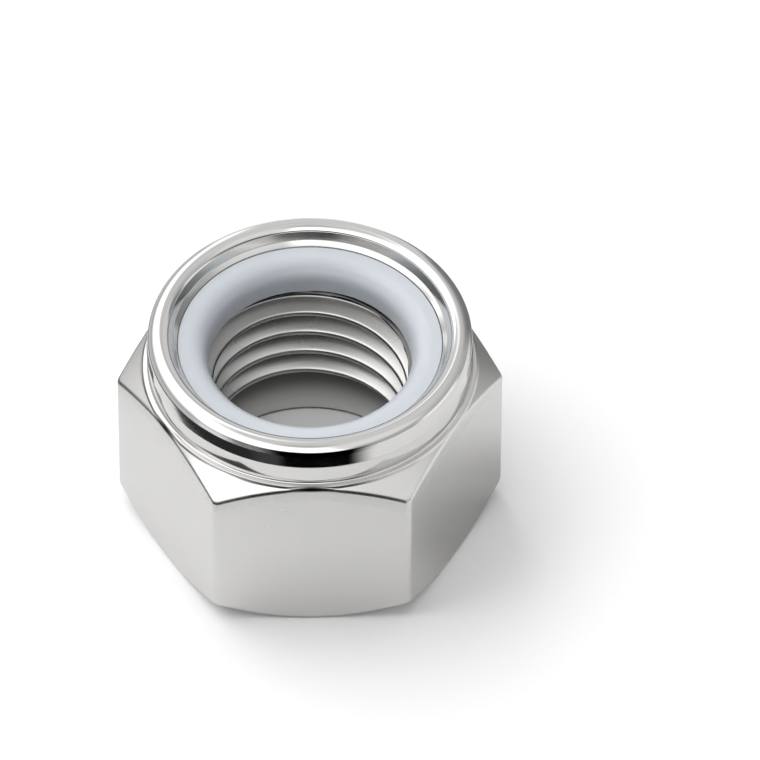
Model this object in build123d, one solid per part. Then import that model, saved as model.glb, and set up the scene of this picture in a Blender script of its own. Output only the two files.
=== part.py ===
"""Self-locking hexagon nut, M16 high form: a turned metal body whose thin collar is rolled over a nylon ring.

The origin is the centre of the bearing face, +Z runs along the thread's axis towards the nylon ring,
and one flat of the hexagon faces -Y. All sizes are in millimetres and degrees.
"""

from math import cos, radians, tan
import os

from build123d import *

# Thread, left plain here at the diameter of its crests, and the holes at its ends
THREAD_MAJOR_D = 16.0
THREAD_PITCH = 2.0
THREAD_CREST_DEPTH = 1.0825  # times the pitch: its crests' diameter is this much smaller than its major one
THREAD_LEAD = 0.3  # 45 degree cone at each end of the thread
RELIEF_CLEARANCE = 0.4  # the plain hole below the thread is wider than the thread by this much
RELIEF_DEPTH = 5.2
MOUTH_CHAMFER = 0.45  # 45 degree cone at the bearing face

# Hexagon
WIDTH_ACROSS_FLATS = 1.5  # times the thread's major diameter
HEX_HEIGHT = 13.7  # bearing face to the top of a flat, at the flat's middle
CORNER_ROUND = 0.6  # the six upright edges are soft
TOP_CHAMFER_ANGLE = 36.9  # of the turned cone, from the horizontal
BOTTOM_CHAMFER_ANGLE = 37.3
BEARING_INSET = 0.2  # the bearing circle is this far inside the flats

# Collar, which stands on a low foot and ends in the rolled lip
COLLAR_HEIGHT = 3.7  # top of the flats' middles to the lip's crest
FOOT_INSET = 0.05  # the foot's lower circle is this far inside the flats
FOOT_TAPER = 0.03  # the foot's upper circle is this much smaller in radius
FOOT_STEP = 0.17  # height of the foot's edge
COLLAR_INSET = 0.44  # the collar's outer wall is this far inside the flats
COLLAR_WALL = 1.41  # thickness of the collar's wall

# Rolled lip
LIP_CREST_INSET = 1.3  # the crest's circle is this far inside the flats
LIP_DEPTH = 1.8  # crest of the lip down to the lip's lower edge
LIP_SIDE_TAPER = 4.5  # the lip's outer side leans in towards the crest
LIP_OUTER_ROUND = 0.87
LIP_INNER_ROUND = 0.73
LIP_FACE_ANGLE = 64.0  # the inner face below the round is this steep
LIP_OVERLAP = 0.68  # how far the lip reaches in over the nylon ring
LIP_DROP = 1.28  # crest down to the lip's inner edge
LIP_BEVEL = 0.32  # 45 degree bevel along the inner edge
LIP_EDGE = 0.3  # thickness of the inner edge
LIP_THROAT = 0.45  # the lip's underside drops by this much from its edge to the collar

# Nylon ring
RING_HEIGHT = 2.33
RING_BORE_OVERSIZE = 0.665  # its bore is wider than the thread's crests by this much
RING_BORE_FLARE = 0.13  # and widens by this much in radius towards its top
RING_ROUND_SHARE = 0.735  # of its top's width, the radius of the broad round that leads into the bore
RING_RECESS = 0.04  # its top lies this far below the lip's inner edge
RING_CLEARANCE = 0.05  # left round the ring before the lip is rolled home

# Worked out from the sizes above
THREAD_MINOR_D = THREAD_MAJOR_D - THREAD_CREST_DEPTH * THREAD_PITCH
APOTHEM = WIDTH_ACROSS_FLATS * THREAD_MAJOR_D / 2
CORNER_RADIUS = APOTHEM / cos(radians(30))
BEARING_R = APOTHEM - BEARING_INSET
TOTAL_HEIGHT = HEX_HEIGHT + COLLAR_HEIGHT
FOOT_R = APOTHEM - FOOT_INSET
WALL_R = APOTHEM - COLLAR_INSET
LIP_CREST_R = APOTHEM - LIP_CREST_INSET
LIP_BASE_Z = TOTAL_HEIGHT - LIP_DEPTH
GROOVE_R = WALL_R - COLLAR_WALL
MOUTH_R = GROOVE_R - LIP_OVERLAP
LIP_EDGE_Z = TOTAL_HEIGHT - LIP_DROP
LIP_UNDER_Z = LIP_EDGE_Z - LIP_EDGE
RING_TOP_Z = LIP_EDGE_Z - RING_RECESS
SEAT_Z = RING_TOP_Z - RING_HEIGHT
THREAD_R = THREAD_MINOR_D / 2
RELIEF_R = (THREAD_MAJOR_D + RELIEF_CLEARANCE) / 2
RING_BORE_R = (THREAD_MINOR_D + RING_BORE_OVERSIZE) / 2


def chamfer_top(r: float) -> float:
    """Height of the upper turned cone at radius r: it meets each flat's middle at HEX_HEIGHT."""
    return HEX_HEIGHT + tan(radians(TOP_CHAMFER_ANGLE)) * (APOTHEM - r)


FOOT_TOP_Z = chamfer_top(FOOT_R) + FOOT_STEP


def lip_lines() -> list:
    """The lip and collar from the lip's inner edge over the crest and down the outside to the wall's foot."""
    crest = (LIP_CREST_R, TOTAL_HEIGHT)
    inner_round = JernArc(crest, (-1, 0), LIP_INNER_ROUND, LIP_FACE_ANGLE)
    bevel_top = (MOUTH_R + LIP_BEVEL, LIP_EDGE_Z + LIP_BEVEL)
    inner_face = Polyline(inner_round @ 1, bevel_top, (MOUTH_R, LIP_EDGE_Z))
    outer_round = JernArc(crest, (1, 0), LIP_OUTER_ROUND, LIP_SIDE_TAPER - 90)
    side_top = outer_round @ 1
    lip_base_r = side_top.X + tan(radians(LIP_SIDE_TAPER)) * (side_top.Y - LIP_BASE_Z)
    side = Polyline(side_top, (lip_base_r, LIP_BASE_Z), (WALL_R, LIP_BASE_Z), (WALL_R, FOOT_TOP_Z))
    return [inner_face, inner_round, outer_round, side]


def body_section() -> Sketch:
    """Half section of the turned blank: cones outside, collar and lip above, the stepped hole inside."""
    bottom_rise = tan(radians(BOTTOM_CHAMFER_ANGLE)) * (CORNER_RADIUS - BEARING_R)
    outside = Polyline(
        (WALL_R, FOOT_TOP_Z),
        (FOOT_R - FOOT_TAPER, FOOT_TOP_Z),
        (FOOT_R, chamfer_top(FOOT_R)),
        (CORNER_RADIUS, chamfer_top(CORNER_RADIUS)),
        (CORNER_RADIUS, bottom_rise),
        (BEARING_R, 0),
        (RELIEF_R + MOUTH_CHAMFER, 0),
    )
    inside = Polyline(
        outside @ 1,
        (RELIEF_R, MOUTH_CHAMFER),
        (RELIEF_R, RELIEF_DEPTH),
        (THREAD_R + THREAD_LEAD, RELIEF_DEPTH),
        (THREAD_R, RELIEF_DEPTH + THREAD_LEAD),
        (THREAD_R, SEAT_Z - THREAD_LEAD),
        (THREAD_R + THREAD_LEAD, SEAT_Z),
        (GROOVE_R, SEAT_Z),
        (GROOVE_R, LIP_UNDER_Z - LIP_THROAT),
        (MOUTH_R, LIP_UNDER_Z),
        (MOUTH_R, LIP_EDGE_Z),
    )
    return make_face(Curve() + lip_lines() + [outside, inside])


def hexagon_bar() -> Part:
    """The hexagon bar the blank is cut from, its upright edges soft; corners on X, flats facing -Y and +Y."""
    outline = RegularPolygon(APOTHEM, 6, major_radius=False)
    outline = fillet(outline.vertices(), CORNER_ROUND)
    return extrude(outline, TOTAL_HEIGHT)


def hex_body() -> Part:
    """One metal piece: the turned section spun round the axis, kept where the hexagon bar is."""
    return revolve(Plane.XZ * body_section(), Axis.Z) & hexagon_bar()


def nylon_ring() -> Part:
    """The ring that fills the collar's groove, stepped under the lip, with a broad round into its bore."""
    neck_r = MOUTH_R - RING_CLEARANCE
    rim_r = GROOVE_R - RING_CLEARANCE
    shoulder_z = LIP_UNDER_Z - RING_CLEARANCE
    bore_top_r = RING_BORE_R + RING_BORE_FLARE
    bore_top = (bore_top_r, RING_TOP_Z)
    outline = Polyline(
        (RING_BORE_R, SEAT_Z),
        (rim_r, SEAT_Z),
        (rim_r, shoulder_z - LIP_THROAT),
        (neck_r, shoulder_z),
        (neck_r, RING_TOP_Z),
        bore_top,
        close=True,
    )
    section = make_face(outline)
    bore_vertex = section.vertices().sort_by_distance(bore_top)[0]
    section = fillet(bore_vertex, RING_ROUND_SHARE * (neck_r - bore_top_r))
    return revolve(Plane.XZ * section, Axis.Z)


os.makedirs("parts", exist_ok=True)
export_step(hex_body(), "parts/hex_body.step")
export_step(nylon_ring(), "parts/nylon_ring.step")
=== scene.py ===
"""Looks of a self-locking hexagon nut: bright turned metal, a right-hand thread and a nylon ring.

The origin is the centre of the bearing face, +Z runs along the thread's axis and one flat faces -Y.
Lengths are in millimetres until a mesh, light or camera is made, where MM turns them into metres.
Angles in a class's fields are in degrees: an azimuth runs from -Y (0) towards +X (90), an elevation up
from the horizon and a slope up from the level.
"""

from __future__ import annotations

import logging
import math
from dataclasses import dataclass, field
from enum import Enum

import bmesh
import bpy
import numpy as np
from bpy.types import ID, Material, Mesh, Node, NodeSocket, NodeTree, Object
from mathutils import Matrix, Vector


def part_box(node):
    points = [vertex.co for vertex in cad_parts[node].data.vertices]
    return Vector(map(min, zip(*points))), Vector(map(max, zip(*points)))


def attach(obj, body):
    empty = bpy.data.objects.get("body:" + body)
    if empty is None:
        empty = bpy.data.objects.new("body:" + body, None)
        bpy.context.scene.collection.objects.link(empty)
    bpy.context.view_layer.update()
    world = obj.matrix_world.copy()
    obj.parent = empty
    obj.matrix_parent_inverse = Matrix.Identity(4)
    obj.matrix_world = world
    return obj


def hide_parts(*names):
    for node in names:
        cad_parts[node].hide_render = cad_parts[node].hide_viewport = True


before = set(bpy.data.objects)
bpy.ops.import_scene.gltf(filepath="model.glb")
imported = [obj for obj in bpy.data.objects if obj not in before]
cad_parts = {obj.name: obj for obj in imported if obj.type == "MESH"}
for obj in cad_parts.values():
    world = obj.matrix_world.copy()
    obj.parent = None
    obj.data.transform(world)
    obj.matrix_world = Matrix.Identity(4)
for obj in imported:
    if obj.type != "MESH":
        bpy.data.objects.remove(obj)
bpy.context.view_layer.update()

MM = 0.001
LOG = logging.getLogger("lock_nut")

Rows = tuple[np.ndarray, np.ndarray]  # radius and height of each row at each column
Colour = tuple[float, float, float]
Amount = np.ndarray | float


# Profiles and rows

def smooth(value: np.ndarray) -> np.ndarray:
    """Smooth step: the value held between 0 and 1, then three times its square less twice its cube."""
    held = np.clip(value, 0, 1)
    return held * held * (3 - 2 * held)


def arc(centre: tuple[float, float], radius: float, start: float, end: float, steps: int) -> np.ndarray:
    """Arc from start to end degrees: (r, z) is the centre plus radius times (cos, sin), at even steps."""
    angle = np.radians(np.linspace(start, end, steps + 1))
    return np.stack([centre[0] + radius * np.cos(angle), centre[1] + radius * np.sin(angle)], axis=1)


def soften(points: list[tuple[float, float, float]], steps: int = 5) -> np.ndarray:
    """A polyline whose corners are rounded by arcs tangent to both neighbouring sides.

    Each corner is replaced by the circle of its radius that touches both sides: the touching points lie
    radius times the tangent of half the turn from the corner, and the arc is swept between them.

    Args:
        points: (r, z, corner radius) of each corner; a radius of 0 leaves it sharp.
        steps: divisions of each arc.

    Returns:
        Array of (r, z) rows.
    """
    rows = []
    for index, (r, z, radius) in enumerate(points):
        corner = np.array([r, z])
        if radius <= 0 or index in (0, len(points) - 1):
            rows.append(corner[None])
            continue
        before = np.array(points[index - 1][:2]) - corner
        after = np.array(points[index + 1][:2]) - corner
        before /= np.linalg.norm(before)
        after /= np.linalg.norm(after)
        half_turn = (math.pi - math.acos(float(np.clip(before @ after, -1, 1)))) / 2
        reach = radius * math.tan(half_turn)
        middle = before + after
        centre = corner + middle / np.linalg.norm(middle) * (radius / math.cos(half_turn))
        first = corner + before * reach - centre
        last = corner + after * reach - centre
        share = np.linspace(0, 1, steps + 1)[:, None]
        swing = 2 * half_turn
        blend = (np.sin((1 - share) * swing) * first + np.sin(share * swing) * last) / math.sin(swing)
        rows.append(centre + blend)
    return np.concatenate(rows)


def bend(start: tuple, corner: tuple, end: tuple, steps: int) -> Rows:
    """A soft corner for every column at once: the quadratic curve from start to end pulled to the corner.

    Each point is a radius and a height, as one row or a number. The curve has steps + 1 rows.
    """
    share = np.linspace(0, 1, steps + 1)[:, None]
    weights = ((1 - share) ** 2, 2 * share * (1 - share), share**2)
    radius, height = (
        sum(weight * np.asarray(point[axis]) for weight, point in zip(weights, (start, corner, end)))
        for axis in (0, 1)
    )
    return radius, height


def between(start: tuple, end: tuple, steps: int) -> Rows:
    """Rows on the straight lines from one row to another, at even steps and without those two rows."""
    share = np.linspace(0, 1, steps + 1)[1:-1, None]
    return tuple(first + (last - first) * share for first, last in zip(start, end))


def rings(profile: np.ndarray, columns: int) -> Rows:
    """Spreads a profile of (r, z) round the axis: every column gets the same radius and height."""
    ones = np.ones((1, columns))
    return profile[:, :1] * ones, profile[:, 1:] * ones


# Meshes

def into_scene(name: str, data: ID) -> Object:
    """Makes an object of a mesh, light or camera and links it to the scene."""
    thing = bpy.data.objects.new(name, data)
    bpy.context.scene.collection.objects.link(thing)
    return thing


def grid_mesh(name: str, places: np.ndarray, values: dict[str, np.ndarray], closed: bool) -> Mesh:
    """Mesh of a grid of points: each quad joins a point to the next column and the next row.

    Args:
        name: name of the mesh.
        places: (rows, columns, 3) points in millimetres.
        values: values of the points by the attribute's name.
        closed: whether the last row is joined to the first.
    """
    rows, columns = places.shape[:2]
    row, column = np.meshgrid(np.arange(rows if closed else rows - 1), np.arange(columns - 1), indexing="ij")
    here = row * columns + column
    below = (row + 1) % rows * columns + column
    quads = np.stack([here, here + 1, below + 1, below], axis=-1)
    mesh = bpy.data.meshes.new(name)
    mesh.from_pydata((places * MM).reshape(-1, 3).tolist(), [], quads.reshape(-1, 4).tolist())
    for label, value in values.items():
        layer = mesh.attributes.new(label, "FLOAT", "POINT")
        layer.data.foreach_set("value", value.reshape(-1).astype(np.float32))
    return mesh


@dataclass
class Surface:
    """A closed tube round the axis: radius, height, finish and painted shade of each row at each column's
    angle.
    """

    angles: np.ndarray
    rows: list[tuple[np.ndarray, ...]] = field(default_factory=list)  # radius, height, satin and painted shade

    def add(self, radius: np.ndarray, height: np.ndarray, satin: Amount = 0.0, painted_shade: Amount = 0.0) -> None:
        """Appends rows; satin says how dull their finish is, and the last amount how dark their painted shade
        is, each from 0 to about 1.
        """
        even = np.zeros(radius.shape)
        self.rows.append((radius, height, satin + even, painted_shade + even))

    def mesh(self, name: str) -> Object:
        """Joins the rows into a closed mesh, merges equal points and turns its faces outwards.

        A vertex is (r cos a, r sin a, z); rows wrap round to the first row and columns to the first
        column, whose angle is one turn further on.
        """
        radius, height, satin, painted_shade = (np.concatenate(parts) for parts in zip(*self.rows))
        places = np.stack([radius * np.cos(self.angles), radius * np.sin(self.angles), height], axis=-1)
        # The second attribute is painted shade, mixed into the metal's colour.
        values = {"satin": satin, "painted_shade": painted_shade}
        piece = into_scene(name, grid_mesh(name, places, values, closed=True))
        close_and_orient(piece)
        return piece


def close_and_orient(piece: Object, reach: float = 2e-7) -> None:
    """Merges points nearer than reach (metres), drops faces without area and recalculates the normals."""
    work = bmesh.new()
    work.from_mesh(piece.data)
    bmesh.ops.remove_doubles(work, verts=work.verts, dist=reach)
    bmesh.ops.dissolve_degenerate(work, dist=reach, edges=work.edges)
    bmesh.ops.recalc_face_normals(work, faces=work.faces)
    for face in work.faces:
        face.smooth = True
    work.to_mesh(piece.data)
    work.free()
    piece.data.update()


def settle_normals(piece: Object) -> None:
    """Sets each vertex normal to the sum of its faces' normals, weighted by the square of their areas.

    The squares let large faces decide the shading next to small rounds, so that flats stay flat.
    """
    mesh = piece.data
    count = len(mesh.polygons)
    area, normal, sides = np.empty(count), np.empty(3 * count), np.empty(count, dtype=np.int32)
    mesh.polygons.foreach_get("area", area)
    mesh.polygons.foreach_get("normal", normal)
    mesh.polygons.foreach_get("loop_total", sides)
    corner = np.empty(len(mesh.loops), dtype=np.int32)
    mesh.loops.foreach_get("vertex_index", corner)
    face = np.repeat(np.arange(count), sides)
    pull = normal.reshape(-1, 3) * (area[:, None] / area.max()) ** 2
    total = np.zeros((len(mesh.vertices), 3))
    np.add.at(total, corner, pull[face])
    total /= np.maximum(np.linalg.norm(total, axis=1, keepdims=True), 1e-30)
    mesh.normals_split_custom_set_from_vertices(total.tolist())


# Finishes

class Blend(Enum):
    """What a Mix node mixes: its data type, and the places of its first and second input and its output."""

    NUMBER = ("FLOAT", 2, 3, 0)
    COLOUR = ("RGBA", 6, 7, 2)


class Nodes:
    """Short calls that add, set and join shader nodes in one tree."""

    def __init__(self, tree: NodeTree) -> None:
        """Keeps the tree whose nodes are made."""
        self.tree = tree

    def feed(self, node: Node, inputs: dict[str | int, object]) -> None:
        """Feeds a node's inputs by name or place: an output is linked, any other value is set."""
        for key, value in inputs.items():
            if isinstance(value, NodeSocket):
                self.tree.links.new(value, node.inputs[key])
            else:
                node.inputs[key].default_value = value

    def add(self, kind: str, inputs: dict[str | int, object] | None = None, **settings: object) -> Node:
        """Adds a node of a kind, sets its properties to the settings and feeds its inputs."""
        node = self.tree.nodes.new(kind)
        for name, value in settings.items():
            setattr(node, name, value)
        self.feed(node, inputs or {})
        return node

    def attribute(self, name: str) -> NodeSocket:
        """Value of one of the piece's point attributes."""
        return self.add("ShaderNodeAttribute", attribute_name=name).outputs["Fac"]

    def math(self, operation: str, first: object, second: object = 0.0) -> NodeSocket:
        """Result of a Math node on two sockets or numbers."""
        return self.add("ShaderNodeMath", {0: first, 1: second}, operation=operation).outputs[0]

    def mix(self, blend: Blend, factor: object, first: object, second: object) -> NodeSocket:
        """Two numbers or colours mixed: the first where the factor is 0, the second where it is 1."""
        kind, one, other, output = blend.value
        inputs = {"Factor": factor, one: first, other: second}
        return self.add("ShaderNodeMix", inputs, data_type=kind).outputs[output]

    def noise(self, place: NodeSocket, scale: object, detail: float = 2.0) -> NodeSocket:
        """Noise at a place, near 0.5 on average, with scale patches per unit of the place."""
        inputs = {"Vector": place, "Scale": scale, "Detail": detail}
        return self.add("ShaderNodeTexNoise", inputs).outputs[0]

    def bump(self, height: NodeSocket, depth: float) -> NodeSocket:
        """Normal of a surface that a height from 0 to 1 raises by up to depth (millimetres)."""
        inputs = {"Strength": 1.0, "Distance": depth * MM, "Height": height}
        return self.add("ShaderNodeBump", inputs).outputs[0]

    def fade(self, value: NodeSocket, middle: float, edge: float) -> NodeSocket:
        """A smooth step of a value, from 1 at middle - edge to 0 at middle + edge."""
        start, end = middle - edge, middle + edge
        inputs = {"Value": value, "From Min": start, "From Max": end, "To Min": 1.0, "To Max": 0.0}
        return self.add("ShaderNodeMapRange", inputs, interpolation_type="SMOOTHSTEP").outputs[0]


def new_material(name: str) -> tuple[Material, Nodes, Node]:
    """Makes a material and gives it, its nodes and its Principled BSDF."""
    material = bpy.data.materials.new(name)
    material.use_nodes = True
    return material, Nodes(material.node_tree), material.node_tree.nodes["Principled BSDF"]


def tone(colour: Colour, strength: float = 1.0) -> tuple[float, ...]:
    """A colour times a strength, held at 1, with a full fourth channel."""
    return (*(min(1.0, part * strength) for part in colour), 1.0)


def tool_marks_group() -> NodeTree:
    """Shader group for fine tool marks and faint clouding on turned metal.

    Marks are noise stretched round the axis: mostly the distance from the axis and the height change it.
    Its outputs, Height and Tone, are near 0.5 on average.
    """
    marks_per_radian = 1.5
    group = bpy.data.node_groups.new("tool_marks", "ShaderNodeTree")
    for name in ("Marks per mm", "Cloud size"):
        group.interface.new_socket(name, in_out="INPUT", socket_type="NodeSocketFloat")
    for name in ("Height", "Tone"):
        group.interface.new_socket(name, in_out="OUTPUT", socket_type="NodeSocketFloat")
    nodes = Nodes(group)
    given = nodes.add("NodeGroupInput").outputs
    place = nodes.add("ShaderNodeTexCoord").outputs["Object"]
    x, y, z = nodes.add("ShaderNodeSeparateXYZ", {0: place}).outputs
    radius = nodes.math("SQRT", nodes.math("ADD", nodes.math("MULTIPLY", x, x), nodes.math("MULTIPLY", y, y)))
    marks_per_metre = nodes.math("MULTIPLY", given["Marks per mm"], 1 / MM)
    turned = {
        0: nodes.math("MULTIPLY", radius, marks_per_metre),
        1: nodes.math("MULTIPLY", nodes.math("ARCTAN2", y, x), marks_per_radian),
        2: nodes.math("MULTIPLY", z, marks_per_metre),
    }
    marks = nodes.noise(nodes.add("ShaderNodeCombineXYZ", turned).outputs[0], 1.0, detail=3.0)
    clouds = nodes.noise(place, nodes.math("DIVIDE", 1 / MM, given["Cloud size"]))
    nodes.add("NodeGroupOutput", {"Height": marks, "Tone": clouds})
    return group


@dataclass(frozen=True)
class BrightMetal:
    """Bright, lightly polished steel; the piece's attributes make it duller (satin) and darker with painted
    shade.
    """

    name: str = "bright_steel"
    colour: Colour = (0.61, 0.605, 0.595)
    # Near black, for painted shade in the ledge's crease, the thread and the relief hole.
    painted_shade_colour: Colour = (0.02, 0.02, 0.018)
    tint: float = 0.03
    bright_roughness: float = 0.07
    satin_roughness: float = 0.26
    cloud_roughness: float = 0.06
    cloud_size: float = 3.0
    marks_per_mm: float = 10.0
    mark_depth: float = 0.0012
    bright_marks: float = 0.5
    satin_marks: float = 1.5

    def build(self, marks: NodeTree) -> Material:
        """Makes the material, with the group of tool marks."""
        material, nodes, shader = new_material(self.name)
        inputs = {"Marks per mm": self.marks_per_mm, "Cloud size": self.cloud_size}
        texture = nodes.add("ShaderNodeGroup", inputs, node_tree=marks).outputs
        satin = nodes.attribute("satin")
        span = self.satin_roughness - self.bright_roughness
        dull = nodes.math("ADD", nodes.math("MULTIPLY", satin, span), self.bright_roughness)
        cloud = nodes.math("MULTIPLY", nodes.math("SUBTRACT", texture["Tone"], 0.5), self.cloud_roughness)
        dark, light = tone(self.colour, 1 - self.tint), tone(self.colour, 1 + self.tint)
        clean = nodes.mix(Blend.COLOUR, texture["Height"], dark, light)
        strength = nodes.math("ADD", nodes.math("MULTIPLY", satin, self.satin_marks), self.bright_marks)
        height = nodes.math("MULTIPLY", texture["Height"], strength)
        # Painted shade: the colour turns near black as far as the attribute says.
        shaded_colour = nodes.mix(Blend.COLOUR, nodes.attribute("painted_shade"), clean, tone(self.painted_shade_colour))
        nodes.feed(
            shader,
            {
                "Metallic": 1.0,
                "Base Color": shaded_colour,
                "Roughness": nodes.math("ADD", dull, cloud),
                "Normal": nodes.bump(height, self.mark_depth),
            },
        )
        return material


@dataclass(frozen=True)
class Nylon:
    """Natural nylon: pale blue-grey, slightly see-through, with a soft gloss."""

    name: str = "natural_nylon"
    colour: Colour = (0.54, 0.574, 0.613)
    tint: float = 0.035
    glow_weight: float = 0.35
    glow_depth: float = 1.0
    glow_shares: tuple[float, float, float] = (0.8, 0.9, 1.0)
    refraction: float = 1.53
    roughness: float = 0.3
    cloud_roughness: float = 0.12
    clouds_per_mm: float = 0.4
    grains_per_mm: float = 4.0
    grain_depth: float = 0.002

    def build(self) -> Material:
        """Makes the material."""
        material, nodes, shader = new_material(self.name)
        place = nodes.add("ShaderNodeTexCoord").outputs["Object"]
        cloud = nodes.noise(place, self.clouds_per_mm / MM, detail=3.0)
        gloss = nodes.math("MULTIPLY", nodes.math("SUBTRACT", cloud, 0.5), self.cloud_roughness)
        dark, light = tone(self.colour, 1 - self.tint), tone(self.colour, 1 + self.tint)
        nodes.feed(
            shader,
            {
                "Base Color": nodes.mix(Blend.COLOUR, cloud, dark, light),
                "Roughness": nodes.math("ADD", gloss, self.roughness),
                "Normal": nodes.bump(nodes.noise(place, self.grains_per_mm / MM), self.grain_depth),
                "Subsurface Weight": self.glow_weight,
                "Subsurface Scale": self.glow_depth * MM,
                "Subsurface Radius": self.glow_shares,
                "IOR": self.refraction,
            },
        )
        return material


# Metal body

@dataclass
class Hexagon:
    """The hexagon bar: its outline with soft upright edges, and the turned cones that end its flats."""

    apothem: float
    flat_top: float = 13.7  # where the upper cone meets a flat's middle
    corner_round: float = 0.6
    top_slope: float = 36.9
    bottom_slope: float = 37.3
    bearing_inset: float = 0.2
    edge_reach: float = 0.26  # how far an edge's round reaches from the edge
    edge_share: float = 0.8  # of the cone's width, the most that round may take
    side_columns: int = 40
    corner_columns: int = 8

    def column_angles(self) -> np.ndarray:
        """Angles of the columns in radians from the +X corner, the last one turn after the first.

        On a flat the columns stand at even steps along its length; on a corner at even steps of its arc.
        """
        half_side = math.radians(30)
        straight = self.apothem - self.corner_round
        half_flat = straight * math.tan(half_side)
        along = np.linspace(-half_flat, half_flat, self.side_columns + 1)
        flat = np.arctan(along / self.apothem) + half_side
        centre = straight / math.cos(half_side)
        turn = np.linspace(-half_side, half_side, self.corner_columns + 1)[1:-1]
        corner = np.arctan2(self.corner_round * np.sin(turn), centre + self.corner_round * np.cos(turn))
        side = np.concatenate([corner, flat])
        angles = np.concatenate([side + math.radians(60 * k) for k in range(6)])
        return np.append(angles, angles[0] + 2 * math.pi)

    def outline(self, angles: np.ndarray) -> np.ndarray:
        """Distance of the outline from the axis at each angle from the +X corner, as one row.

        On a flat it is the apothem divided by the cosine of the angle from the flat's middle; near a
        corner it is where the ray meets the corner's circle.
        """
        step = math.radians(60)
        flat = self.apothem / np.cos(np.mod(angles, step) - step / 2)
        centre = (self.apothem - self.corner_round) / math.cos(step / 2)
        off_corner = np.mod(angles + step / 2, step) - step / 2
        inside = self.corner_round**2 - (centre * np.sin(off_corner)) ** 2
        rounded = centre * np.cos(off_corner) + np.sqrt(np.maximum(inside, 0))
        round_ends = math.atan2(
            self.corner_round * math.sin(step / 2), centre + self.corner_round * math.cos(step / 2)
        )
        return np.where(np.abs(off_corner) < round_ends, rounded, flat)[None, :]

    def bearing_radius(self) -> float:
        """Radius of the bearing circle, where the lower cone begins."""
        return self.apothem - self.bearing_inset

    def cone_height(self, radius: Amount) -> Amount:
        """Height of the upper turned cone, which meets each flat's middle at flat_top."""
        return self.flat_top + math.tan(math.radians(self.top_slope)) * (self.apothem - radius)

    def lower_edge(self, outline: np.ndarray) -> Rows:
        """Rounded edge between the lower cone and the flats: rows upwards, the last one on the flats."""
        slope = math.radians(self.bottom_slope)
        width = outline - self.bearing_radius()
        corner_z = math.tan(slope) * width
        reach = np.minimum(self.edge_reach, self.edge_share * width / math.cos(slope))
        start = (outline - reach * math.cos(slope), corner_z - reach * math.sin(slope))
        return bend(start, (outline, corner_z), (outline, corner_z + self.edge_reach), steps=7)

    def upper_edge(self, outline: np.ndarray, inner: float) -> Rows:
        """Rounded edge between the flats and the upper cone, which ends at the radius inner.

        The rows run upwards, the first one on the flats and the last on the cone.
        """
        slope = math.radians(self.top_slope)
        corner_z = self.cone_height(outline)
        reach = np.minimum(self.edge_reach, self.edge_share * (outline - inner) / math.cos(slope))
        end = (outline - reach * math.cos(slope), corner_z + reach * math.sin(slope))
        return bend((outline, corner_z - self.edge_reach), (outline, corner_z), end, steps=9)


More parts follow.
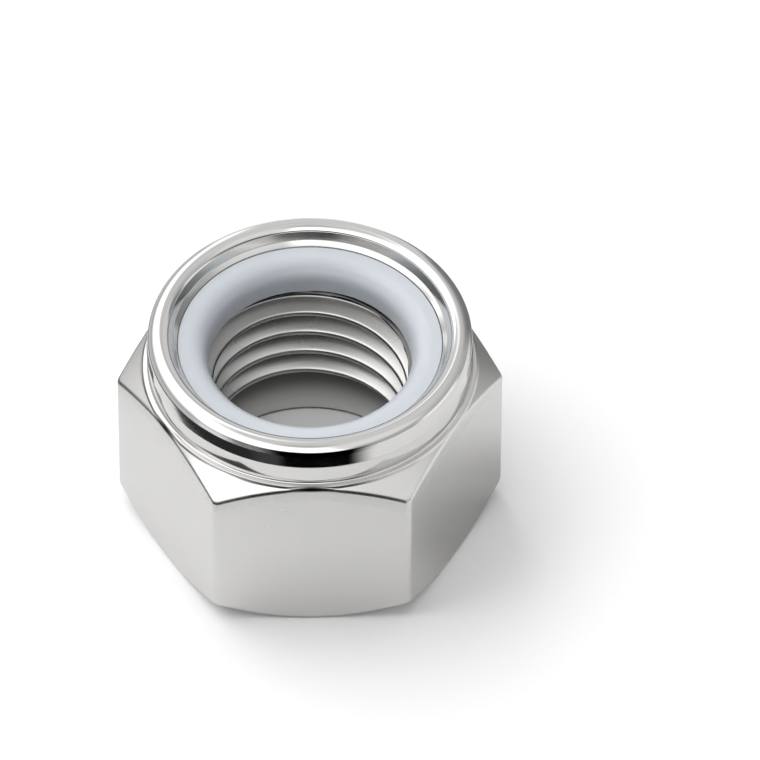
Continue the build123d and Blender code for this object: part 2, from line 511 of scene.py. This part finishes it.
@dataclass
class Collar:
    """The turned collar: foot, ledge, wall, crease, rolled lip and the groove that holds the nylon ring."""

    total_height: float

    # Foot and ledge
    foot_radius: float = 12.0
    foot_top_radius: float = 11.93
    foot_height: float = 13.9
    foot_round: float = 0.07
    ledge_radius: float = 11.76
    ledge_rise: float = 0.02  # the ledge's inner side above its outer one

    # Wall, and the crease where the rolled lip meets it
    wall_radius: float = 11.56
    wall_lift: float = 0.04  # the corner between wall and ledge above the ledge
    wall_round: float = 0.13
    crease_depth: float = 1.82  # from the crest down
    crease_radius: float = 11.5
    crease_foot: float = 0.07  # the wall's top below the crease
    crease_bottom: float = 0.02  # the crease's innermost line below it
    crease_top: float = 0.04  # the lip's lower edge above it
    crease_round: float = 0.02

    # Rolled lip
    lip_base_radius: float = 11.64
    lip_base_round: float = 0.05
    lip_crest_radius: float = 10.7
    lip_outer_round: float = 0.87
    lip_side_taper: float = 4.5
    lip_inner_round: float = 0.73
    lip_face_slope: float = 64.0
    lip_face_end: tuple[float, float] = (9.79, 16.44)
    lip_face_round: float = 0.15
    lip_face_inset: float = 0.65  # the inner face begins this far inside the crest's circle
    mouth_radius: float = 9.47
    edge_height: float = 16.12
    edge_round: float = 0.05
    lip_edge: float = 0.3
    lip_throat: float = 0.45

    # Groove
    groove_radius: float = 10.15
    groove_round: float = 0.1
    ring_top_recess: float = 0.04
    ring_height: float = 2.33

    def ledge_height(self) -> float:
        """Height of the ledge's inner side, where the wall rises."""
        return self.foot_height + self.ledge_rise

    def seat_height(self) -> float:
        """Height of the groove's floor, on which the nylon ring sits."""
        return self.edge_height - self.ring_top_recess - self.ring_height

    def foot_profile(self, cone_end: float) -> np.ndarray:
        """Profile from the hexagon's cone, which ends at the height cone_end, over the foot to the ledge."""
        return soften(
            [
                (self.foot_radius, cone_end, 0.0),
                (self.foot_top_radius, self.foot_height, self.foot_round),
                (self.ledge_radius, self.ledge_height(), 0.0),
            ]
        )

    def lip_profile(self, inner: float) -> np.ndarray:
        """Profile from the ledge over wall and lip into the groove, whose floor ends at inner."""
        crest, radius = self.total_height, self.lip_crest_radius
        outer, inner_round = self.lip_outer_round, self.lip_inner_round
        outside = arc((radius, crest - outer), outer, self.lip_side_taper, 90, steps=18)
        inside = arc((radius, crest - inner_round), inner_round, 90, 90 + self.lip_face_slope, steps=14)
        crease, ledge = crest - self.crease_depth, self.ledge_height()
        wall = soften(
            [
                (self.ledge_radius, ledge, 0.0),
                (self.wall_radius, ledge + self.wall_lift, self.wall_round),
                (self.wall_radius, crease - self.crease_foot, self.crease_round),
                (self.crease_radius, crease - self.crease_bottom, self.crease_round),
                (self.lip_base_radius, crease + self.crease_top, self.lip_base_round),
                (*outside[0], 0.0),
            ]
        )
        under, seat = self.edge_height - self.lip_edge, self.seat_height()
        groove = soften(
            [
                (*inside[-1], 0.0),
                (*self.lip_face_end, self.lip_face_round),
                (self.mouth_radius, self.edge_height, self.edge_round),
                (self.mouth_radius, under, self.edge_round),
                (self.groove_radius, under - self.lip_throat, self.groove_round),
                (self.groove_radius, seat, self.groove_round),
                (inner, seat, 0.0),
            ]
        )
        return np.concatenate([wall[1:-1], outside, inside[1:], groove[1:]])


@dataclass
class ThreadedHole:
    """The right-hand thread, its run-out under the nylon ring and the plain relief hole below it."""

    minor: float = 6.9175
    major: float = 8.0
    pitch: float = 2.0
    lowest_crest: float = 5.7  # height of the lowest crest at the back
    crest_share: float = 1 / 12  # of the pitch, from a crest's middle to its flank
    flank_angle: float = 30.0
    softness: float = 0.05  # of the edges where a flank meets crest and root
    lead: float = 0.3  # 45 degree cone at the lower end
    run_out_radius: float = 7.85
    run_out_height: float = 0.8
    relief_radius: float = 8.2
    relief_depth: float = 5.2
    relief_steps: int = 11
    ceiling_round: float = 0.1
    mouth_chamfer: float = 0.45
    mouth_round: float = 0.05

    # Places of the rows between a crest's middle (0) and the next root's middle (1)
    row_places: tuple = (0, 0.1, 0.17, 0.22, 0.27, 0.33, 0.45, 0.6, 0.74, 0.82, 0.87, 0.92, 0.96, 1)

    def mouth_radius(self) -> float:
        """Radius of the hole at the bearing face."""
        return self.relief_radius + self.mouth_chamfer

    def row_offsets(self, low: float, high: float) -> np.ndarray:
        """Heights of the rows above the lowest crest at the back, where the helix starts.

        They run from the top down, from two turns past the thread's end at high to two past low.
        """
        places = np.array(self.row_places) * self.pitch / 2
        wave = np.unique(np.round(np.concatenate([places, self.pitch - places[1:]]), 6))
        first = math.floor((low - self.lowest_crest) / self.pitch) - 2
        last = math.ceil((high - self.lowest_crest) / self.pitch) + 2
        turns = np.arange(first, last)[:, None] * self.pitch
        return np.sort((turns + wave).reshape(-1))[::-1]

    def thread_rows(self, angles: np.ndarray, seat: float) -> Rows:
        """Radius and height of the thread, with rows that follow its helix.

        Each row is a helix: its height grows by one pitch a turn, anticlockwise seen from above, which
        is a right-hand thread. Over one pitch the radius is a trapezoid wave with 60 degree flanks and
        a crest a twelfth of the pitch to each side, softly limited at both ends. Heights are held between
        the relief's ceiling, where a 45 degree cone opens the hole, and the seat, where the thread runs out.
        The rows run downwards from the seat.
        """
        low, half = self.relief_depth, self.pitch / 2
        back = math.radians(90)
        climb = self.lowest_crest + self.pitch * (angles - back)[None, :] / (2 * math.pi)
        height = np.clip(climb + self.row_offsets(low, seat)[:, None], low, seat)
        off_crest = np.abs(np.mod(height - climb + half, self.pitch) - half)
        sunk = (off_crest - self.crest_share * self.pitch) / math.tan(math.radians(self.flank_angle))
        depth, soft = self.major - self.minor, self.softness
        sunk = soft * np.logaddexp(0, sunk / soft)
        sunk = depth - soft * np.logaddexp(0, (depth - sunk) / soft)
        radius = self.minor + np.maximum(sunk, 0)
        near_seat = np.clip(2 * (1 - (seat - height) / self.run_out_height), 0, 1)
        run_out = self.minor + (self.run_out_radius - self.minor) * near_seat
        lower_cone = self.minor + self.lead - (height - low)
        return np.maximum(radius, np.maximum(run_out, lower_cone)), height

    def relief_profile(self) -> np.ndarray:
        """Profile from the thread's lower end along the relief hole to its mouth, without those ends."""
        heights = np.linspace(self.relief_depth, self.mouth_chamfer, self.relief_steps + 1)[1:-1]
        return soften(
            [
                (self.minor + self.lead, self.relief_depth, 0.0),
                (self.relief_radius, self.relief_depth, self.ceiling_round),
                *((self.relief_radius, z, 0.0) for z in heights),
                (self.relief_radius, self.mouth_chamfer, self.mouth_round),
                (self.mouth_radius(), 0.0, 0.0),
            ]
        )[1:-1]


@dataclass(frozen=True)
class BodyFinishAndShade:
    """How dull (satin) each stretch of the body is and how much painted shade darkens it; 0 is bright and
    unshaded.
    """

    bearing_satin: float = 0.5
    lower_cone_satin: float = 0.4
    lower_edge_satin: float = 0.8
    flat_satin: float = 1.0
    top_satin: float = 1.2
    lip_face_satin: float = 0.2
    thread_satin: float = 1.1
    relief_satin: float = 1.5
    # Painted shade, a dark line in the crease where the front and left flats meet the ledge.
    ledge_painted_shade: float = 0.95
    ledge_reach: float = 0.1  # the hexagon's radius beyond its apothem where the ledge's painted shade ends
    # Painted shade on the thread: towards its roots, on its crests and on the turn under the ring.
    root_painted_shade: float = 0.5
    crest_painted_shade: float = 0.5
    crest_depth: float = 0.1  # of the thread's depth, what counts as the crest
    run_out_painted_shade: float = 0.88
    run_out_spread: float = 1.4  # how steeply it thins out over the turn under the seat
    # Painted shade high in the relief hole, under the thread.
    relief_painted_shade: float = 0.9
    shade_fades_from: float = 3.9  # the relief's painted shade thins out below this height
    shade_fades_over: float = 3.3

    def on_ledge(self, angles: np.ndarray, beyond: np.ndarray, rows: int) -> np.ndarray:
        """Painted shade over the middles of the front and left flats, in the rows from the flat to the ledge.

        Args:
            angles: the columns' angles in radians.
            beyond: the hexagon's radius less its apothem, as one row.
            rows: number of those rows.
        """
        near_middle = 1 - np.clip(beyond / self.ledge_reach, 0, 1)
        front_or_left = (np.sin(angles) < -0.3) & (np.cos(angles) < 0.3)
        share = np.linspace(0, 1, rows)[:, None]
        off_ends = np.clip(4 * np.minimum(share, 1 - share), 0, 1)
        return self.ledge_painted_shade * near_middle * front_or_left * off_ends

    def on_thread(self, depth: np.ndarray, turns_down: np.ndarray) -> np.ndarray:
        """Painted shade on the thread: on crests, towards the roots and on the turn under the ring.

        Args:
            depth: depth of each point below the crests, as a share of the thread's depth.
            turns_down: how far each point is below the seat, in pitches.
        """
        root = self.root_painted_shade * np.clip(depth, 0, 1)
        crest = self.crest_painted_shade * np.clip(1 - depth / self.crest_depth, 0, 1)
        run_out = self.run_out_painted_shade * np.clip(self.run_out_spread * (1 - turns_down), 0, 1)
        return np.maximum(np.maximum(root, crest), run_out)

    def on_relief(self, height: np.ndarray) -> np.ndarray:
        """Painted shade in the relief hole at a height: full at its ceiling, thinning out towards its mouth.
        """
        return self.relief_painted_shade * (1 - smooth((self.shade_fades_from - height) / self.shade_fades_over))


@dataclass
class HexBody:
    """The metal nut, one closed surface of hexagon, collar and threaded hole."""

    hexagon: Hexagon
    collar: Collar
    hole: ThreadedHole = field(default_factory=ThreadedHole)
    finish_and_shade: BodyFinishAndShade = BodyFinishAndShade()
    foot_gap: float = 0.02  # the cone is kept at least this wide, where the foot is wider than the flat
    step_gap: float = 0.02  # the broad round's corner below the foot's top
    middle_reach: float = 0.16  # the hexagon's radius beyond its apothem where the broad round ends
    face_margin: float = 0.4  # width of the bearing face's outermost band

    def top_rows(self, outline: np.ndarray) -> Rows:
        """Rows from each flat over its rounded top edge and the turned cone to the collar's ledge.

        Away from a flat's middle the rows are the rounded edge, the cone and the raised foot. At the
        middle, where the foot is wider than the flat, one broader round runs from the flat to the ledge.
        The two are mixed by a smooth step of the hexagon's radius.
        """
        hexagon, collar = self.hexagon, self.collar
        cone_end = (collar.foot_radius, hexagon.cone_height(collar.foot_radius))
        edge = hexagon.upper_edge(np.maximum(outline, collar.foot_radius + self.foot_gap), collar.foot_radius)
        cone = between((edge[0][-1:], edge[1][-1:]), cone_end, steps=8)
        foot = rings(collar.foot_profile(cone_end[1]), outline.shape[1])
        regular = [np.concatenate(parts) for parts in zip(edge, cone, foot)]
        broad = bend(
            (outline, hexagon.flat_top - hexagon.edge_reach),
            (outline, collar.foot_height - self.step_gap),
            (collar.ledge_radius, collar.ledge_height()),
            steps=len(regular[0]) - 1,
        )
        weight = smooth((outline - hexagon.apothem) / self.middle_reach)
        radius, height = (at_middle + (away - at_middle) * weight for at_middle, away in zip(broad, regular))
        return np.minimum(radius, outline), height

    def build(self) -> Object:
        """Makes the whole body as one closed surface, from the bearing face round and back to it."""
        hexagon, collar, hole, finish_and_shade = self.hexagon, self.collar, self.hole, self.finish_and_shade
        angles = hexagon.column_angles()
        columns = len(angles)
        outline = hexagon.outline(angles)
        bearing = hexagon.bearing_radius()
        seat = collar.seat_height()
        surface = Surface(angles)

        face = np.array([(hole.mouth_radius(), 0), (bearing - self.face_margin, 0), (bearing, 0)])
        surface.add(*rings(face, columns), finish_and_shade.bearing_satin)
        low_r, low_z = hexagon.lower_edge(outline)
        surface.add(*between((bearing, 0), (low_r[:1], low_z[:1]), steps=5), finish_and_shade.lower_cone_satin)
        surface.add(low_r, low_z, finish_and_shade.lower_edge_satin)
        top_r, top_z = self.top_rows(outline)
        surface.add(*between((outline, low_z[-1:]), (outline, top_z[:1]), steps=9), finish_and_shade.flat_satin)
        # Painted shade: a dark line where the front and left flats meet the ledge.
        ledge_painted_shade = finish_and_shade.on_ledge(angles, outline - hexagon.apothem, len(top_r))
        surface.add(top_r, top_z, finish_and_shade.top_satin, ledge_painted_shade)

        lip_r, lip_z = rings(collar.lip_profile(hole.run_out_radius), columns)
        inner_face = lip_r < collar.lip_crest_radius - collar.lip_face_inset
        surface.add(lip_r, lip_z, finish_and_shade.lip_face_satin * inner_face)

        thread_r, thread_z = hole.thread_rows(angles, seat)
        depth = (thread_r - hole.minor) / (hole.major - hole.minor)
        # Painted shade on the thread's crests, towards its roots and under the ring.
        painted_shade = finish_and_shade.on_thread(depth, (seat - thread_z) / hole.pitch)
        surface.add(thread_r, thread_z, finish_and_shade.thread_satin, painted_shade)
        relief_r, relief_z = rings(hole.relief_profile(), columns)
        # Painted shade high in the relief hole, fading towards its mouth.
        surface.add(relief_r, relief_z, finish_and_shade.relief_satin, finish_and_shade.on_relief(relief_z))

        piece = surface.mesh("threaded_hex_body")
        settle_normals(piece)
        return piece

    def dress(self, piece: Object, finish: BrightMetal, marks: NodeTree) -> None:
        """Gives the body its finish, with the group of tool marks, and its place in the frame."""
        piece.data.materials.append(finish.build(marks))
        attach(piece, "root")
        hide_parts("hex_body")


# Nylon ring

@dataclass
class NylonRing:
    """The nylon ring in the collar's groove, with a broad round into its bore."""

    collar: Collar
    bore_radius: float = 7.25
    bore_top_radius: float = 7.38
    bore_round: float = 1.5
    clearance: float = 0.05
    start_inset: float = 0.6  # the profile starts on the underside, this far beyond the bore
    end_inset: float = 1.2
    lower_round: float = 0.08
    neck_round: float = 0.04
    shoulder_round: float = 0.02
    rim_round: float = 0.1
    columns: int = 240

    def build(self) -> Object:
        """Makes the ring as a closed surface of revolution."""
        collar = self.collar
        seat, top = collar.seat_height(), collar.edge_height - collar.ring_top_recess
        neck, rim = collar.mouth_radius - self.clearance, collar.groove_radius - self.clearance
        shoulder = collar.edge_height - collar.lip_edge - self.clearance
        profile = soften(
            [
                (self.bore_radius + self.start_inset, seat, 0.0),
                (self.bore_radius, seat, self.lower_round),
                (self.bore_top_radius, top, self.bore_round),
                (neck, top, self.neck_round),
                (neck, shoulder, self.shoulder_round),
                (rim, shoulder - collar.lip_throat, self.rim_round),
                (rim, seat, self.rim_round),
                (self.bore_radius + self.end_inset, seat, 0.0),
            ],
            steps=20,
        )
        surface = Surface(np.linspace(0, 2 * math.pi, self.columns + 1))
        surface.add(*rings(profile, self.columns + 1))
        return surface.mesh("clear_nylon_ring")

    def dress(self, piece: Object, finish: Nylon) -> None:
        """Gives the ring its finish and its place in the frame."""
        piece.data.materials.append(finish.build())
        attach(piece, "root")
        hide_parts("nylon_ring")


# Studio

def direction(azimuth: float, elevation: float) -> np.ndarray:
    """Unit vector (sin a cos e, -cos a cos e, sin e) of an azimuth and an elevation in radians."""
    level = math.cos(elevation)
    return np.array([math.sin(azimuth) * level, -math.cos(azimuth) * level, math.sin(elevation)])


@dataclass(frozen=True)
class Panel:
    """A soft-edged patch of the studio's dome, lighter or darker than the rest."""

    name: str
    azimuth: float
    width: float
    elevation: float
    height: float
    edge: float
    level: float


def screen(name: str, places: np.ndarray, cover: np.ndarray, glow: float) -> None:
    """Makes a stage piece that only reflections see.

    Args:
        name: name of the piece.
        places: (rows, columns, 3) grid of points in millimetres.
        cover: how much each point hides of what lies behind it, 0 to 1.
        glow: its light, 0 for black.
    """
    mesh = grid_mesh(name, places, {"cover": cover}, closed=False)
    material, nodes, shader = new_material(name)
    nodes.feed(
        shader,
        {
            "Base Color": (0, 0, 0, 1),
            "Specular IOR Level": 0.0,
            "Emission Color": (1, 1, 1, 1),
            "Emission Strength": glow,
            "Alpha": nodes.attribute("cover"),
        },
    )
    mesh.materials.append(material)
    piece = into_scene(name, mesh)
    piece.visible_camera = False
    piece.visible_diffuse = False
    piece.visible_shadow = False
    piece.visible_transmission = False


@dataclass(frozen=True)
class Card:
    """A strip bent round the nut and seen only in the metal, to darken or lighten what its edges mirror.

    It hides what lies behind it by its cover, which fades to nothing along its ends and its upper edge.
    """

    name: str
    start: float
    end: float
    radius: float
    low: float
    high: float
    glow: float
    end_fade: float
    top_fade: float
    cover: float = 1.0

    def build(self) -> None:
        """Makes the strip: a grid of upright quads along an arc from start to end azimuth."""
        azimuth = np.linspace(self.start, self.end, 97)
        height = np.linspace(self.low, self.high, 33)
        ends = np.clip(np.minimum(azimuth - self.start, self.end - azimuth) / self.end_fade, 0, 1)
        top = np.clip((self.high - height) / self.top_fade, 0, 1)
        turn, up = np.meshgrid(np.radians(azimuth), height)
        places = np.stack([self.radius * np.sin(turn), -self.radius * np.cos(turn), up], axis=-1)
        screen(self.name, places, self.cover * smooth(ends[None, :] * top[:, None]), self.glow)


@dataclass(frozen=True)
class Lid:
    """A small level patch of painted shade near the nut, seen only in the metal, that fades out round its
    middle.
    """

    name: str
    middle: tuple[float, float, float]
    half_width: float
    half_depth: float
    cover: float
    steepness: float = 1.6  # of its fade; at 1 the fade begins at the middle

    def build(self) -> None:
        """Makes the patch: a grid of level quads whose cover falls off with the distance from its middle."""
        across = np.linspace(-1, 1, 25)
        x, y = np.meshgrid(across, across)
        spread = np.stack([self.half_width * x, self.half_depth * y, np.zeros(x.shape)], axis=-1)
        cover = self.cover * smooth(self.steepness * (1 - np.hypot(x, y)))
        screen(self.name, np.array(self.middle) + spread, cover, glow=0.0)


@dataclass(frozen=True)
class BoreLamp:
    """A narrow lamp in front that shines down through the hole on the floor at its far side."""

    power: float = 0.8
    size: float = 0.5
    beam_radius: float = 7.5
    distance: float = 300.0
    azimuth: float = -10.0
    elevation: float = 61.0
    target: tuple[float, float, float] = (1.0, 6.6, 0.0)

    def build(self) -> None:
        """Makes the lamp at its distance from the target, turned towards it and left out of reflections."""
        data = bpy.data.lights.new("bore_lamp", "SPOT")
        data.energy = self.power
        data.spot_size = 2 * math.atan(self.beam_radius / self.distance)
        data.spot_blend = 1.0
        data.shadow_soft_size = self.size * MM
        lamp = into_scene("bore_lamp", data)
        azimuth, elevation = math.radians(self.azimuth), math.radians(self.elevation)
        lamp.location = (np.array(self.target) + self.distance * direction(azimuth, elevation)) * MM
        lamp.rotation_euler = (math.pi / 2 - elevation, 0, azimuth)
        lamp.visible_glossy = False


@dataclass(frozen=True)
class PhotoCamera:
    """The photograph's camera, far off with a narrow angle, fitted to the nut's outline."""

    image_side: float = 760.0
    sensor: float = 36.0
    distance: float = 680.6
    pixels_per_mm: float = 13.93
    elevation: float = 47.435
    azimuth: float = -0.635
    roll: float = -0.065
    target_pixel: tuple[float, float] = (310.06, 414.21)
    target_height: float = 8.57

    def build(self) -> None:
        """Makes the camera: it looks at the target, then pans and tilts to put it at its pixel."""
        elevation, azimuth, roll = (math.radians(v) for v in (self.elevation, self.azimuth, self.roll))
        back = direction(azimuth, elevation)
        level = np.array([math.cos(azimuth), math.sin(azimuth), 0.0])
        upright = np.cross(back, level)
        right = math.cos(roll) * level + math.sin(roll) * upright
        up = math.cos(roll) * upright - math.sin(roll) * level
        focal = self.pixels_per_mm * self.distance
        pan, tilt = (math.atan((pixel - self.image_side / 2) / focal) for pixel in self.target_pixel)
        side = math.cos(pan) * right - math.sin(pan) * back
        ahead = -math.sin(pan) * right - math.cos(pan) * back
        top = math.cos(tilt) * up - math.sin(tilt) * ahead
        forward = math.sin(tilt) * up + math.cos(tilt) * ahead
        place = np.array([0, 0, self.target_height]) + back * self.distance
        pose = np.eye(4)
        pose[:3] = np.stack([side, top, -forward, place * MM], axis=1)
        data = bpy.data.cameras.new("camera")
        data.sensor_width = self.sensor
        data.lens = focal / self.image_side * self.sensor
        data.clip_start, data.clip_end = 0.01, 10.0
        camera = into_scene("camera", data)
        camera.matrix_world = Matrix(pose.tolist())
        bpy.context.scene.camera = camera


@dataclass
class Studio:
    """Pale floor, a dome of soft light, cards and lids near the nut, a lamp and the camera."""

    floor_side: float = 6000.0
    floor_colour: Colour = (0.94, 0.94, 0.94)
    camera: PhotoCamera = PhotoCamera()
    lamp: BoreLamp = BoreLamp()

    # Each panel: azimuth of its middle, width, elevation of its middle, height, soft edge, level
    soft_level: float = 0.52
    soft_light: tuple[Panel, ...] = (
        Panel("overhead", 180, 400, 90, 52, 8, 1.42),
        Panel("key", -115, 110, 55, 34, 8, 3.7),
    )
    mirror_level: float = 0.6
    mirror_light: tuple[Panel, ...] = (
        Panel("zenith", 180, 360, 90, 100, 24, 0.92),
        Panel("key", -77, 198, 37, 55, 8, 2.1),
        Panel("front_high", 0, 76, 74, 18, 8, 0.7),
        Panel("fill", 48, 66, 50, 40, 9, 1.1),
        Panel("right_horizon", 88, 34, 4, 26, 7, 1.4),
    )

    # Each card: azimuths of its ends, radius, lower and upper height, glow, fade of its ends and top, cover
    cards: tuple[Card, ...] = (
        Card("front_black", -31, 36, 28.5, 0, 23, 0.0, 16, 2),
        Card("front_grey", -50, 5, 28.7, 0, 23, 0.0, 14, 2, 0.7),
        Card("front_low", -66, -12, 28.3, 0, 6, 0.06, 9, 2),
        Card("left_black", -160, -44, 27, 0, 6, 0.08, 10, 3),
        Card("left_line", -158, -22, 16.4, 11, 13.3, 0.03, 8, 0.8),
        Card("left_pale", -155, -48, 16.2, 12.5, 20.5, 0.5, 10, 2, 0.6),
        Card("back_grey", 140, 200, 19, 17, 40, 0.92, 10, 8),
        Card("right_dark", 105, 168, 27, 0, 38, 0.27, 14, 20),
    )
    # Painted shade seen only in reflections: above the bore, darkening the mirrored thread, and on the floor
    # right of the nut.
    lids: tuple[Lid, ...] = (
        Lid("bore_lid", (0.1, 4.4, 19.0), 2.1, 2.7, 1.0),
        Lid("right_floor", (13.5, -2.5, 0.3), 9.0, 9.0, 0.31),
    )

    def floor(self) -> None:
        """A wide pale floor under the nut: one square."""
        corners = np.array([[(-1, -1, 0), (1, -1, 0)], [(-1, 1, 0), (1, 1, 0)]])
        mesh = grid_mesh("floor", corners * self.floor_side / 2, {}, closed=False)
        material, nodes, shader = new_material("pale_floor")
        plain = {"Base Color": tone(self.floor_colour), "Roughness": 1.0, "Specular IOR Level": 0.0}
        nodes.feed(shader, plain)
        mesh.materials.append(material)
        into_scene("floor", mesh)

    @staticmethod
    def dome(nodes: Nodes, level: float, panels: tuple[Panel, ...]) -> NodeSocket:
        """An even level mixed with each panel by a soft window of azimuth and elevation.

        A window is the product of two smooth steps, one of the angle off the panel's middle azimuth and
        one of the angle off its middle elevation. Later panels lie over earlier ones.
        """
        place = nodes.add("ShaderNodeTexCoord").outputs["Generated"]
        x, y, z = nodes.add("ShaderNodeSeparateXYZ", {0: place}).outputs
        height = nodes.math("ARCSINE", z)
        for panel in panels:
            east, north, _ = direction(math.radians(panel.azimuth), 0)
            along = nodes.math("ADD", nodes.math("MULTIPLY", x, east), nodes.math("MULTIPLY", y, north))
            across = nodes.math("SUBTRACT", nodes.math("MULTIPLY", y, east), nodes.math("MULTIPLY", x, north))
            edge = math.radians(panel.edge)
            sideways = nodes.math("ABSOLUTE", nodes.math("ARCTAN2", across, along))
            upwards = nodes.math("ABSOLUTE", nodes.math("SUBTRACT", height, math.radians(panel.elevation)))
            in_width = nodes.fade(sideways, math.radians(panel.width / 2), edge)
            in_height = nodes.fade(upwards, math.radians(panel.height / 2), edge)
            away = nodes.math("SUBTRACT", panel.level, level)
            window = nodes.math("MULTIPLY", in_width, in_height)
            level = nodes.math("ADD", level, nodes.math("MULTIPLY", away, window))
        return level

    def world(self) -> None:
        """The dome: one set of panels lights pale surfaces, another is what polished metal mirrors.

        Camera rays that pass the floor see plain white.
        """
        world = bpy.data.worlds.new("studio")
        bpy.context.scene.world = world
        world.use_nodes = True
        nodes = Nodes(world.node_tree)
        rays = nodes.add("ShaderNodeLightPath").outputs
        level = self.dome(nodes, self.soft_level, self.soft_light)
        mirrored = self.dome(nodes, self.mirror_level, self.mirror_light)
        for ray, seen in (("Is Glossy Ray", mirrored), ("Is Camera Ray", 1.0)):
            level = nodes.mix(Blend.NUMBER, rays[ray], level, seen)
        nodes.feed(world.node_tree.nodes["Background"], {"Color": (1, 1, 1, 1), "Strength": level})
        world.cycles.sampling_method = "MANUAL"
        world.cycles.sample_map_resolution = 512

    def build(self) -> None:
        """Makes the camera, floor, dome, lamp, cards and lids."""
        self.camera.build()
        self.floor()
        self.world()
        self.lamp.build()
        for thing in (*self.cards, *self.lids):
            thing.build()
        bpy.context.scene.view_settings.view_transform = "Standard"


def main() -> None:
    """Builds the studio and both pieces, and reports each."""
    logging.basicConfig(level=logging.INFO, format="%(name)s: %(message)s")
    Studio().build()
    LOG.info("studio ready")
    _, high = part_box("hex_body")
    body = HexBody(Hexagon(apothem=high[1] / MM), Collar(total_height=high[2] / MM))
    piece = body.build()
    body.dress(piece, BrightMetal(), tool_marks_group())
    LOG.info("%s: %d faces", piece.name, len(piece.data.polygons))
    ring = NylonRing(body.collar)
    piece = ring.build()
    ring.dress(piece, Nylon())
    LOG.info("%s: %d faces", piece.name, len(piece.data.polygons))


if __name__ == "__main__":
    main()
